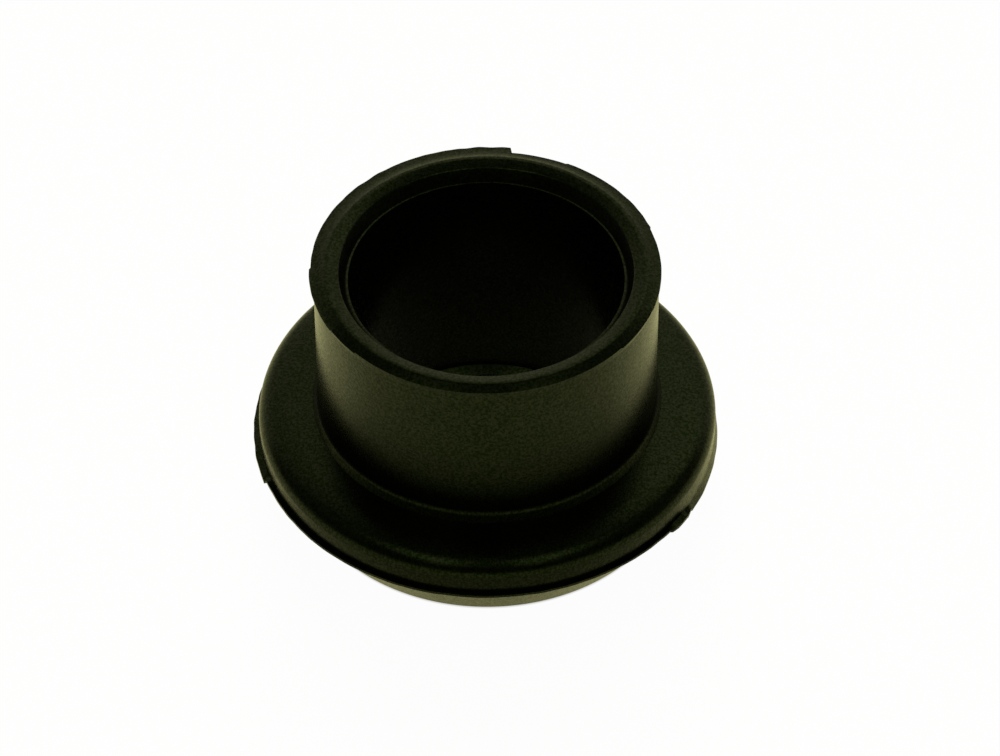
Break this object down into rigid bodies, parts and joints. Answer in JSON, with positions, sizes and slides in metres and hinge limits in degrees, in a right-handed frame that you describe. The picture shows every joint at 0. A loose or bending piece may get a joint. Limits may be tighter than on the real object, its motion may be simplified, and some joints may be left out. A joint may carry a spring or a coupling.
{
  "type": "rubber sleeve seal",
  "caption": "Moulded rubber seal: a straight neck with a ridged mouth, a wide flange and a tapered foot around one through bore with a lip, for sealing a pipe in a larger socket.",
  "frame": {"origin": "centre of the bore at the foot's flat end, which the seal stands on", "axes": "+Z along the bore towards the mouth of the neck; +X and +Y are free by symmetry, and -Y is the side that the picture shows in front"},
  "size_m": [0.0553, 0.0548, 0.0335],
  "materials": {
    "black_rubber": "satin moulded"
  },
  "bodies": {
    "root": {"rubber_seal": "black_rubber"}
  },
  "joints": []
}
